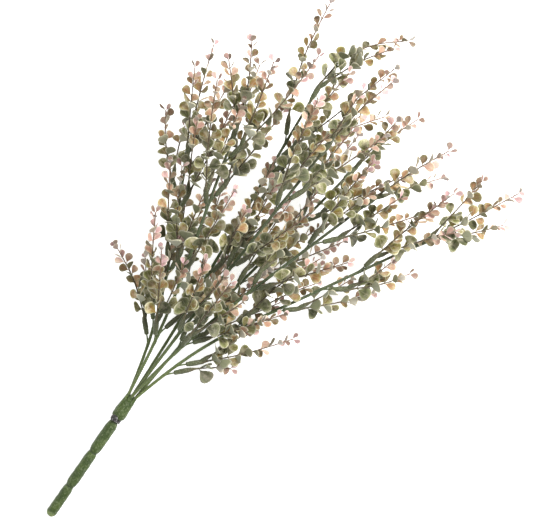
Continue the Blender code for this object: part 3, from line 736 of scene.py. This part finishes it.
def add_leaf(body, leaf, shift, age, dice):
    """A cupped leaf with a short stalk, a sunken midrib and a thin rim, moved by shift."""
    rows = np.array(LEAF_ROWS)[LEAF_GRID[:, 0]]
    along = rows[:, 0]
    half = rows[:, 1] * leaf.width / 2 * dice.uniform(0.90, 1.10)
    thick = rows[:, 2] * 0.001 * min(1.0, leaf.length / 0.011)
    cross = np.array(LEAF_COLUMNS)[LEAF_GRID[:, 1]]
    face = LEAF_GRID[:, 2]
    fullness = dice.uniform(-0.10, 0.12)
    half = half * (1 + fullness * np.sin(along * math.pi))
    cup = dice.choice((1, 1, 1, -0.6)) * dice.uniform(0.10, 0.42)
    bend = dice.uniform(-0.20, 0.16)
    swing = dice.uniform(-0.08, 0.08)
    ruffle = dice.uniform(0.0, 0.035)
    phase = dice.uniform(0, math.tau)
    free = np.clip((along - 0.1) / 0.9, 0, 1)
    y = cross * half + swing * leaf.length * free ** 2
    z = cup * np.abs(cross) ** 1.8 * half * free ** 0.5
    z = z + bend * leaf.length * free ** 2
    z = z + ruffle * leaf.length * np.sin(phase + 5 * along + 2.0 * cross) * np.abs(cross) * free
    z = z + face * thick / 2 - (np.abs(cross) < 0.2) * (face >= 0) * MIDRIB_DEPTH * (1 - along)
    z = z + LEAF_LIFT
    place = np.array(leaf.place)
    corners = np.stack([along * leaf.length, y, z], 1) @ place[:3, :3].T + place[:3, 3] + np.array(shift)
    edge = np.maximum(np.abs(cross), np.clip((along - 0.55) / 0.45, 0, 1) ** 1.5)
    grid = np.stack([along, cross, face < 0], 1)
    same = np.ones(len(along))
    tone = np.stack([same * min(1.0, max(0.0, age)), same * dice.random(), edge], 1)
    body.add(corners, LEAF_FACES, 0, grid, tone)


# ---------------------------------------------------------------- materials


def linear(*colour):
    """A colour written as 0 to 255, for a shader."""
    shares = [value / 255 for value in colour]
    return (*(s / 12.92 if s <= 0.04045 else ((s + 0.055) / 1.055) ** 2.4 for s in shares), 1.0)


def stops(*rows):
    """The stops of a ramp, from rows of (place, red, green, blue)."""
    return [(place, linear(*colour)) for place, *colour in rows]


class Nodes:
    """Short ways to add and join shader nodes."""

    def __init__(self, name):
        self.material = bpy.data.materials.new(name)
        self.material.use_nodes = True
        self.tree = self.material.node_tree
        self.place = self.put("TexCoord").outputs["Object"]

    def put(self, kind, inputs=(), **settings):
        node = self.tree.nodes.new("ShaderNode" + kind)
        for key, value in settings.items():
            setattr(node, key, value)
        self.fill(node, inputs)
        return node

    def fill(self, node, inputs):
        """Joins or sets each of these inputs of the node."""
        for key, value in dict(inputs).items():
            if isinstance(value, bpy.types.NodeSocket):
                self.tree.links.new(value, node.inputs[key])
            else:
                node.inputs[key].default_value = value

    def finish(self, inputs):
        """The material, with these inputs of its shader joined or set."""
        self.fill(self.tree.nodes["Principled BSDF"], inputs)
        return self.material

    def math(self, operation, *values, clamp=False):
        return self.put("Math", enumerate(values), operation=operation, use_clamp=clamp).outputs[0]

    def plus(self, first, second, clamp=False):
        return self.math("ADD", first, second, clamp=clamp)

    def times(self, first, second):
        return self.math("MULTIPLY", first, second)

    def sway(self, value, reach):
        """How far the value is from a half, times reach."""
        return self.times(self.math("SUBTRACT", value, 0.5), reach)

    def blend(self, factor, first, second):
        inputs = {0: factor, 6: first, 7: second}
        return self.put("Mix", inputs, data_type="RGBA", blend_type="MIX", clamp_factor=True).outputs[2]

    def ramp(self, factor, places):
        node = self.put("ValToRGB", {"Fac": factor})
        while len(node.color_ramp.elements) < len(places):
            node.color_ramp.elements.new(0.5)
        for element, (place, colour) in zip(node.color_ramp.elements, places):
            element.position = place
            element.color = colour
        return node.outputs["Color"]

    def grain(self, scale, detail=4.0, rough=0.55, place=None):
        inputs = {"Vector": place or self.place, "Scale": scale, "Detail": detail, "Roughness": rough}
        return self.put("TexNoise", inputs).outputs["Fac"]

    def between(self, value, low, high, first=0.0, second=1.0):
        inputs = {"Value": value, "From Min": low, "From Max": high, "To Min": first, "To Max": second}
        return self.put("MapRange", inputs, clamp=True).outputs["Result"]

    def attribute(self, name):
        """The three parts of a value that Body keeps for each corner."""
        node = self.put("Attribute", attribute_type="GEOMETRY", attribute_name=name)
        return tuple(self.put("SeparateXYZ", {"Vector": node.outputs["Vector"]}).outputs)

    def brighter(self, colour, value):
        return self.put("HueSaturation", {"Color": colour, "Value": value}).outputs["Color"]

    def bump(self, height, strength, distance):
        inputs = {"Height": height, "Strength": strength, "Distance": distance}
        return self.put("Bump", inputs).outputs["Normal"]


def leaf_material():
    """Matt plastic leaves: sage at the foot of a twig, then olive with an orange middle, then dusty pink."""
    n = Nodes("leaf")
    span, cross, back = n.attribute("leaf")
    age, dice, edge = n.attribute("tone")
    cloud, mottle, patch = n.grain(55.0, 3.0), n.grain(260.0), n.grain(150.0, 3.0)
    speck = n.grain(900.0, 5.0, 0.7)
    ripe = n.plus(age, n.plus(n.sway(dice, 0.40), n.sway(cloud, 0.40)), clamp=True)
    middle = n.ramp(ripe, stops((0.00, 70, 76, 28), (0.22, 92, 88, 26), (0.42, 132, 96, 38),
                                (0.60, 152, 106, 66), (0.78, 172, 128, 110), (1.00, 194, 152, 154)))
    rim = n.ramp(ripe, stops((0.00, 132, 138, 86), (0.30, 134, 136, 70), (0.55, 150, 142, 82),
                             (0.75, 186, 154, 130), (1.00, 216, 184, 190)))
    front = n.blend(n.between(n.plus(edge, n.sway(mottle, 1.1)), 0.25, 0.95), middle, rim)
    ribs = n.math("ABSOLUTE", cross)
    slant = n.math("SUBTRACT", n.times(span, 9.0), n.times(ribs, 3.2))
    vein = n.between(n.math("PINGPONG", slant, 0.5), 0.10, 0.0)
    lines = n.math("MAXIMUM", n.times(vein, 0.45), n.between(ribs, 0.10, 0.02))
    front = n.blend(n.times(lines, 0.45), front, n.blend(0.5, front, linear(206, 196, 158)))
    # pale patches: partly the leaves' powdery bloom, partly painted highlight
    pale_patched = n.between(n.plus(patch, n.times(speck, 0.5)), 0.70, 0.98, 0.0, 0.62)
    front = n.blend(pale_patched, front, linear(206, 196, 168))
    pale = n.blend(n.between(dice, 0.15, 0.85, 0.25, 0.80), rim, linear(182, 182, 168))
    colour = n.blend(back, front, pale)
    # a pale rim: partly the leaf's own pale edge, partly painted highlight
    colour = n.blend(n.between(edge, 0.72, 0.96, 0.0, 0.90), colour, linear(228, 222, 194))
    return n.finish({
        "Base Color": n.brighter(colour, n.between(dice, 0.0, 1.0, 0.50, 1.32)),
        "Roughness": n.between(speck, 0.3, 0.7, 0.45, 0.75), "Specular IOR Level": 0.5,
        "Sheen Weight": 0.10, "Sheen Roughness": 0.5,
        "Normal": n.bump(n.plus(n.times(lines, -0.6), n.times(speck, 0.5)), 0.6, 0.0005)})


def stem_material(name, dust, scale, *rows):
    """Rough moulded plastic with pale dust and dark pits. rows: its colours from its foot to its tip."""
    n = Nodes(name)
    age, dice, _ = n.attribute("tone")
    speck = n.grain(scale, 6.0, 0.7)
    base = n.ramp(n.plus(age, n.sway(n.grain(120.0), 0.3), clamp=True), stops(*rows))
    pits = n.blend(n.between(speck, 0.50, 0.32), base, n.blend(0.5, base, linear(38, 40, 26)))
    pale_patched = n.blend(n.between(speck, 0.52, 0.72, 0.0, dust), pits, linear(176, 182, 156))
    return n.finish({
        "Base Color": n.brighter(pale_patched, n.between(dice, 0.0, 1.0, 0.85, 1.12)),
        "Roughness": n.between(speck, 0.3, 0.7, 0.5, 0.78), "Specular IOR Level": 0.4,
        "Sheen Weight": 0.25, "Sheen Roughness": 0.4, "Normal": n.bump(speck, 0.55, 0.0006)})


def handle_material():
    """Green moulded plastic with a fine ribbed skin, darkened by painted shade in the waists, the crown's
    grooves and round the branch roots, and lighter at its lower end.
    """
    n = Nodes("handle")
    height, turn, _ = n.attribute("leaf")
    unshaded, _, cut = n.attribute("tone")
    cloud, speck = n.grain(90.0), n.grain(620.0, 5.0, 0.75)
    around = n.put("CombineXYZ", {"X": n.times(height, 9.0), "Y": n.times(turn, 3.0)}).outputs["Vector"]
    fibre = n.grain(4.0, 5.0, 0.65, around)
    rib = n.math("PINGPONG", n.plus(n.times(height, 8.3), n.times(cloud, 1.2)), 0.5)
    colour = n.ramp(n.plus(n.times(cloud, 0.55), n.times(fibre, 0.5), clamp=True),
                    stops((0.30, 32, 50, 4), (0.50, 54, 76, 16), (0.72, 88, 106, 40)))
    colour = n.blend(n.between(rib, 0.20, 0.02, 0.0, 0.75), colour, linear(40, 56, 24))
    colour = n.blend(n.between(speck, 0.50, 0.66, 0.0, 0.55), colour, linear(150, 160, 124))
    # painted shade: darker in the waists, in the crown's grooves and at the top of each collar
    colour = n.blend(n.between(unshaded, 0.7, 0.0, 0.0, 0.75), colour, linear(44, 58, 30))
    return n.finish({
        "Base Color": n.blend(n.times(cut, 0.7), colour, linear(142, 160, 100)),
        "Roughness": n.between(speck, 0.3, 0.7, 0.42, 0.68), "Specular IOR Level": 0.5,
        "Normal": n.bump(n.plus(n.times(rib, 1.2), n.plus(speck, fibre)), 0.6, 0.0005)})


def wire_material():
    """Bare dark steel wire, drawn and a little tarnished."""
    n = Nodes("bare_wire")
    tarnish = n.grain(700.0, 5.0)
    return n.finish({
        "Base Color": n.ramp(tarnish, stops((0.35, 44, 42, 42), (0.52, 84, 82, 82), (0.68, 168, 166, 164))),
        "Roughness": n.between(tarnish, 0.3, 0.7, 0.28, 0.55), "Metallic": 0.9,
        "Normal": n.bump(tarnish, 0.3, 0.0002)})


LEAF = leaf_material()
TWIG = stem_material("twig", 0.35, 1500.0, (0.0, 86, 78, 54), (0.5, 92, 74, 54), (1.0, 138, 104, 86))
SLEEVE = stem_material("sleeve", 0.55, 1100.0, (0.0, 84, 92, 60), (0.6, 82, 84, 58), (1.0, 92, 82, 58))
BRANCH = stem_material("branch", 0.45, 1100.0, (0.0, 96, 110, 58), (0.3, 84, 98, 54), (0.7, 74, 86, 56),
                       (1.0, 70, 74, 48))
HANDLE = handle_material()
WIRE = wire_material()

# ---------------------------------------------------------------- the pieces

ROOT_SLIMNESS = 0.78  # a branch's soft skin at its root, as a share of its radius
BRANCH_SLIMNESS = 0.92  # and further along
ROUNDING = 0.0075  # over this length a section of the handle rounds in to its waist
NOSE_LENGTH = 0.0048  # over this length the handle's lower end is rounded
KNOT_SIDE = (-0.50, 0.24, 0.83)  # the way in which the wire's knot lies from the neck
KNOT_RISE = 0.0026  # how far towards the crown it lies
KNOT_REACH = 0.0024  # and how far out from the turns
KNOT_WIDTH = 0.0027
KNOT_TAIL = 0.0030  # the straight length of each wire end
KNOT_LOOPS = (3.2, 2.6)  # how often each end winds round
KNOT_STEPS = 96
TURN_STEPS = 48
HANDLE_RINGS = 420
HANDLE_SIDES = 48
# The collar round a branch's root: (height from its mouth in mm, radius, how free of painted shade it is).
COLLAR = ((-4.5, 0.00180, 0.9), (-2.5, 0.00185, 0.8), (-1.0, 0.00185, 0.7), (0.2, 0.00180, 0.5),
          (1.2, 0.00172, 0.2), (2.0, 0.00155, 0.0))
BETWEEN = 1.05  # how many of the leaves have another between their pair and the next


def sleeve_radius(along):
    """The outer radius of a sleeve: a spindle with a lipped mouth."""
    share = min(1.0, along / SLEEVE_LENGTH)
    lip = 0.00025 * math.exp(-((along - 0.0006) / 0.0007) ** 2)
    swell = (SLEEVE_RADIUS - SLEEVE_MOUTH_RADIUS + share * (SLEEVE_MOUTH_RADIUS - TWIG_RADIUS)) * 1.05
    wall = mix(SLEEVE_MOUTH_RADIUS, TWIG_RADIUS, smooth(share))
    return wall + swell * math.sin(math.pi * share ** 0.9) + lip


def side_radius(along):
    """The outer radius of a side twig's own swelling."""
    share = min(1.0, along / SIDE_SLEEVE)
    return TWIG_RADIUS + (0.85 * SLEEVE_RADIUS - TWIG_RADIUS) * math.sin(math.pi * share ** 0.95) ** 0.8


def add_twig(body, stem, start, pairs, radius_at, dice):
    """The sleeve and the twig above it, swollen a little where each pair of leaves leaves it."""
    length = path_length(stem.points)
    samples = curve_samples(stem.points, 0.0016)
    seed = dice.uniform(0, 50)
    chance = dice.random()
    foot = [s for s in samples if s[1] <= start + 0.0015]
    tones = [(min(1.0, d / start), chance, 0) for _, d in foot]
    tube(body, [p for p, _ in foot], [radius_at(d) for _, d in foot], 12, 1, tones, 0.16, seed)
    twig = [s for s in samples if s[1] >= start - 0.002]
    radii, tones = [], []
    for _, distance in twig:
        swell = sum(math.exp(-((distance - pair) / 0.0011) ** 2) for pair in pairs)
        share = max(0.0, distance - start) / (length - start)
        radii.append(mix(TWIG_RADIUS, TWIG_TIP_RADIUS, share) * (0.92 + 0.30 * min(1.0, swell)))
        tones.append((share, chance, 0))
    tube(body, [p for p, _ in twig], radii, 8, 2, tones, 0.05, seed)


def make_sprig(sprig, number, move):
    """A sprig: its sleeves and twigs, its own leaves, and smaller leaves between the pairs."""
    body = Body()
    dice = random.Random(1000 + number)
    drift = dice.uniform(-0.12, 0.10)
    for index, stem in enumerate(sprig.stems):
        pairs = pair_places(stem, SIDE_START if index else SLEEVE_LENGTH)
        start, radius_at = (SIDE_SLEEVE, side_radius) if index else (SLEEVE_LENGTH, sleeve_radius)
        add_twig(body, stem, start, pairs, radius_at, dice)
    for leaf, owner, distance in zip(sprig.leaves, sprig.owners, sprig.places):
        points = sprig.stems[owner].points
        length = path_length(points)
        age = (distance - SLEEVE_LENGTH) / (length - SLEEVE_LENGTH)
        add_leaf(body, leaf, spline_shift(points, distance), age * 0.92 + drift + 0.04, dice)
        if distance < length - 0.9 * LEAF_SPACING and dice.random() < BETWEEN * (0.55 + 0.45 * age):
            distance += LEAF_SPACING * dice.uniform(0.4, 0.6)
            extra = leaf_between(leaf, points, distance, dice)
            age = (distance - SLEEVE_LENGTH) / (length - SLEEVE_LENGTH)
            if min((move @ extra.place @ Vector((extra.length * k, 0, 0))).z for k in (0, 0.6, 1)) > 0.003:
                add_leaf(body, extra, spline_shift(points, distance), age * 0.92 + drift + 0.04, dice)
    body.make(sprig.name, [LEAF, SLEEVE, TWIG], move)


def leaf_between(leaf, points, distance, dice):
    """Another leaf further up the twig than this one, turned about an eighth of a turn round it."""
    at, along = place_on(points, distance)
    out = leaf.place.to_3x3().col[0]
    radial = (out - along * out.dot(along)).normalized()
    radial = Matrix.Rotation(math.radians(dice.uniform(30, 60) * dice.choice((1, -1))), 3, along) @ radial
    lean = mix(LEAF_FORWARD, LEAF_TIP_FORWARD, 0.5) + dice.uniform(-9, 9)
    twist = turn_up(along, radial, lean) + dice.uniform(-70, 70)
    size = leaf.length * dice.uniform(0.70, 1.05)
    place = leaf_place(at + radial * 0.0003, along, radial, lean, twist)
    return Leaf(place, size, size * leaf.width / leaf.length)


def make_branch(number, stem, sprigs, move):
    """A branch, bendable on the real bush but rigid here: smooth, a little thicker at each peg, green and
    then greyer.
    """
    body = Body()
    chance = random.Random(499 + number).random()
    samples = curve_samples(stem.points, 0.0022)
    total = path_length(stem.points)
    pegs = [min(samples, key=lambda s: (s[0] - sprig.foot[0]).length)[1] for sprig in sprigs]
    radii = []
    for _, distance in samples:
        index, share = find_on(stem.points, distance)
        swell = max((math.exp(-((distance - peg) / 0.003) ** 2) for peg in pegs), default=0.0)
        slim = mix(ROOT_SLIMNESS, BRANCH_SLIMNESS, smooth(distance / BRANCH_BEND))
        radii.append(mix(*stem.radii[index:index + 2], share) * slim * (1 + 0.16 * swell))
    tube(body, [p for p, _ in samples], radii, 14, 0, [(d / total, chance, 0) for _, d in samples], 0.10,
         (number - 1) * 7.0)
    for sprig, distance in zip(sprigs, pegs):
        at, first = sprig.foot
        reach = (sprig.stems[0].points[0] + first * (PEG_LENGTH - 2 * CLEARANCE) - at).length
        points = [at + first * (reach * share) for share in (0, 0.15, 0.3, 0.45, 0.6, 0.8, 1.0)]
        wide = [PEG_RADIUS * w for w in (1.75, 1.45, 1.15, 1.0, 1.0, 1.0, 0.9)]
        tube(body, points, wide, 10, 0, (distance / total, chance, 0), 0.06, 3.0)
    body.make(f"branch_{number}", [BRANCH], move)


def handle_radius(height):
    """The handle's radius at that height, from its lower end to the top of its crown."""
    top = crown_bottom_height()
    if height >= top:
        share = (height - top) / CROWN_LENGTH
        lip = math.sqrt(max(0.0, 1 - (1 - min(1.0, share / 0.14)) ** 2))
        slim = 1 - 0.12 * smooth((share - 0.30) / 0.70)
        return mix(NECK_RADIUS * 1.05, CROWN_RADIUS, lip) * slim * crown_end(share)
    number, bottom, length = 0, 0.0, LOWEST_SECTION
    if height >= LOWEST_SECTION:
        number = 1 + int((height - LOWEST_SECTION) / HANDLE_SECTION)
        bottom = LOWEST_SECTION + (number - 1) * HANDLE_SECTION
        length = HANDLE_SECTION
    if bottom + length > top - 1e-6:
        length -= NECK_LENGTH
    above = height - bottom
    if above > length:
        return NECK_RADIUS
    full = HANDLE_RADIUS * (0.95 + 0.05 * number) * (1 - 0.02 * above / length)
    near = min(1.0, min(length - above, above if bottom else ROUNDING) / ROUNDING)
    nose = min(1.0, (height + 0.0006) / NOSE_LENGTH)
    radius = mix(NECK_RADIUS * 1.02, full, (1 - (1 - near) ** 2) ** 0.7)
    return radius * math.sqrt(1 - (1 - nose) ** 2)


def crown_end(share):
    """How the crown draws in at its very top, round the branches' roots."""
    return 1 - 0.42 * smooth((share - 0.80) / 0.20) ** 2


def crease(height):
    """1 where two sections of the handle meet, falling to 0 on each side."""
    top = crown_bottom_height()
    waists = [LOWEST_SECTION + i * HANDLE_SECTION for i in range(HANDLE_SECTIONS)]
    waists += [top - NECK_LENGTH * share for share in (0.0, 0.5, 1.0)]
    return max(math.exp(-((height - waist) / 0.0012) ** 2) for waist in waists)


def make_handle(move):
    """The moulded handle: its sections, its rounded lower end, and a crown that grips each branch's root."""
    body = Body()
    start, axis = handle_axis()
    side = square_to(axis)
    other = axis.cross(side)
    top = crown_bottom_height()
    mouths = [mouth - crown_top() for mouth in socket_places().values()]
    corners, tones, spans = [], [], []
    for ring in range(HANDLE_RINGS + 1):
        height = (top + CROWN_LENGTH) * ring / HANDLE_RINGS
        radius = handle_radius(height)
        lobe = smooth((height - top - 0.25 * CROWN_LENGTH) / (0.75 * CROWN_LENGTH))
        for i in range(HANDLE_SIDES):
            turn = math.tau * i / HANDLE_SIDES
            out = side * math.cos(turn) + other * math.sin(turn)
            reach, hollow = radius, 0.0
            if lobe > 0:
                facing = max(out.dot(m.normalized()) if m.length > 0.001 else -1.0 for m in mouths)
                hollow = lobe * (1 - smooth((facing - 0.80) / 0.18))
                reach *= 1 - 0.26 * hollow
            place = start + axis * height + out * reach
            rough = 0.055 * noise.noise(place * 260) + 0.018 * noise.noise(place * 1500)
            rough += 0.016 * math.sin(height * 5200 + 1.5 * noise.noise(place * 300))
            corners.append(tuple(start + axis * height + out * reach * (1 + rough)))
            cut = smooth((out.z + 0.3) / 0.6) * (1 - smooth((height - 0.002) / 0.004))
            # the first tone is 1 less the painted shade, which darkens the waists and the grooves between the
            # branch roots
            tones.append((1 - max(crease(height), 0.85 * hollow), 0.5, cut))
            spans.append((height * 100, i / HANDLE_SIDES, 0.0))
    bottom = [sum(c[k] for c in corners[:HANDLE_SIDES]) / HANDLE_SIDES for k in range(3)]
    corners += [tuple(bottom), tuple(start + axis * (top + CROWN_LENGTH + 0.0006))]
    # the hub on top of the crown, between the branch roots, also gets painted shade
    tones += [(1.0, 0.5, 1.0), (0.6, 0.5, 0.0)]
    spans += [(0, 0, 0), ((top + CROWN_LENGTH) * 100, 0, 0)]
    body.add(corners, tube_faces(HANDLE_RINGS + 1, HANDLE_SIDES), 0, spans, tones)
    heights, radii, unshaded = zip(*COLLAR)
    for mouth in socket_places().values():
        points = [mouth + axis * (0.001 * h) for h in heights]
        # each collar gets painted shade towards its top, where the branch leaves it
        tube(body, points, radii, 16, 0, [(share, 0.5, 0) for share in unshaded], 0.08, 1.0)
    body.make("handle", [HANDLE], move)


def make_wire(move):
    """The turns of bare wire round the neck, and the knot of their two ends on its upper side."""
    body = Body()
    start, axis = handle_axis()
    side = square_to(axis)
    other = axis.cross(side)
    reach = NECK_RADIUS + CLEARANCE + WIRE_RADIUS * 1.1
    middle = crown_bottom_height() - NECK_LENGTH / 2
    points = []
    for i in range(WIRE_TURNS * TURN_STEPS + 1):
        turn = math.tau * i / TURN_STEPS
        height = middle + WIRE_PITCH * (i / TURN_STEPS - WIRE_TURNS / 2)
        points.append(start + axis * height + (side * math.cos(turn) + other * math.sin(turn)) * reach)
    tube(body, points, WIRE_RADIUS, 12, 0, (0, 0, 0), 0.04, 2.0)
    up = move.to_3x3().inverted() @ Vector(KNOT_SIDE)
    up = (up - axis * up.dot(axis)).normalized()
    across = axis.cross(up)
    knot = start + axis * (middle + KNOT_RISE) + up * (reach + KNOT_REACH)
    for end, loops in enumerate(KNOT_LOOPS):
        points = []
        hand = 1 - 2 * end
        for i in range(KNOT_STEPS + 1):
            turn = math.tau * loops * i / KNOT_STEPS + end * math.pi
            wide = KNOT_WIDTH * (1 - 0.6 * i / KNOT_STEPS)
            place = knot + axis * (wide * math.sin(turn)) + across * (wide * 1.2 * math.cos(turn) * hand)
            points.append(place + up * (WIRE_RADIUS * (2.2 * i / KNOT_STEPS - 0.6 + 0.4 * end)))
        tail = points[-1]
        way = (knot - axis * (1.6 * KNOT_WIDTH) + across * (0.5 * KNOT_WIDTH * hand) - tail).normalized()
        points += [tail + way * (KNOT_TAIL * i / 8) for i in range(1, 9)]
        tube(body, points, WIRE_RADIUS * 0.85, 12, 0, (0, 0, 0), 0.04, 3.0 + end)
    body.make("neck_wire", [WIRE], move)


# ---------------------------------------------------------------- floor, light and camera

PAPER = [(0.3, (0.90, 0.90, 0.90, 1)), (0.7, (0.93, 0.93, 0.93, 1))]
WHITE = (1.0, 1.0, 1.0, 1.0)
CAMERA_TURN = 55.0
CAMERA_AIM = (0.182, -0.038, 0)  # from the top of the crown to the middle of the view
CAMERA_HEIGHT = 1.156


def make_stage():
    """White paper that glows a little, so that the shadows on it stay pale."""
    mesh = bpy.data.meshes.new("floor")
    cage = bmesh.new()
    bmesh.ops.create_grid(cage, x_segments=1, y_segments=1, size=20.0)
    cage.to_mesh(mesh)
    cage.free()
    n = Nodes("paper")
    mesh.materials.append(n.finish({
        "Base Color": n.ramp(n.grain(3.0, 2.0), PAPER), "Roughness": 0.9, "Specular IOR Level": 0.1,
        "Emission Color": WHITE, "Emission Strength": 0.66}))
    floor = show("floor", mesh)


def area_light(name, place, size, power):
    """A round soft light that faces the origin."""
    light = bpy.data.lights.new(name, "AREA")
    light.shape = "DISK"
    light.size = size
    light.energy = power
    lamp = show(name, light)
    lamp.location = place
    lamp.rotation_euler = (-Vector(place)).to_track_quat("-Z", "Y").to_euler()


def make_lights():
    world = bpy.data.worlds.new("studio")
    bpy.context.scene.world = world
    world.use_nodes = True
    background = world.node_tree.nodes["Background"]
    background.inputs["Color"].default_value = WHITE
    background.inputs["Strength"].default_value = 0.46
    area_light("key", (1.05, -0.50, 1.15), 0.5, 33.0)
    area_light("fill", (-0.7, 0.7, 1.3), 1.4, 7.0)
    bpy.context.scene.view_settings.view_transform = "Standard"


def make_camera(move):
    """Straight above, turned so that the handle points to the lower left."""
    turn = math.radians(CAMERA_TURN)
    right = Vector((math.cos(turn), -math.sin(turn), 0))
    up = Vector((math.sin(turn), math.cos(turn), 0))
    middle = move @ crown_top() + Vector(CAMERA_AIM)
    data = bpy.data.cameras.new("camera")
    data.lens = 80
    data.sensor_width = 36
    camera = show("camera", data)
    view = Matrix((right, up, Vector((0, 0, 1)))).transposed().to_4x4()
    view.translation = (middle.x, middle.y, CAMERA_HEIGHT)
    camera.matrix_world = view
    bpy.context.scene.camera = camera


def main():
    branches, sprigs = lay_out()
    move = settle(branches, sprigs)
    make_stage()
    make_lights()
    make_camera(move)
    make_handle(move)
    make_wire(move)
    for number, stem in enumerate(branches, 1):
        make_branch(number, stem, [s for s in sprigs if s.name.startswith(f"branch_{number}_")], move)
    for number, sprig in enumerate(sprigs):
        make_sprig(sprig, number, move)
    bpy.context.view_layer.update()
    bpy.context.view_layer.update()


main()
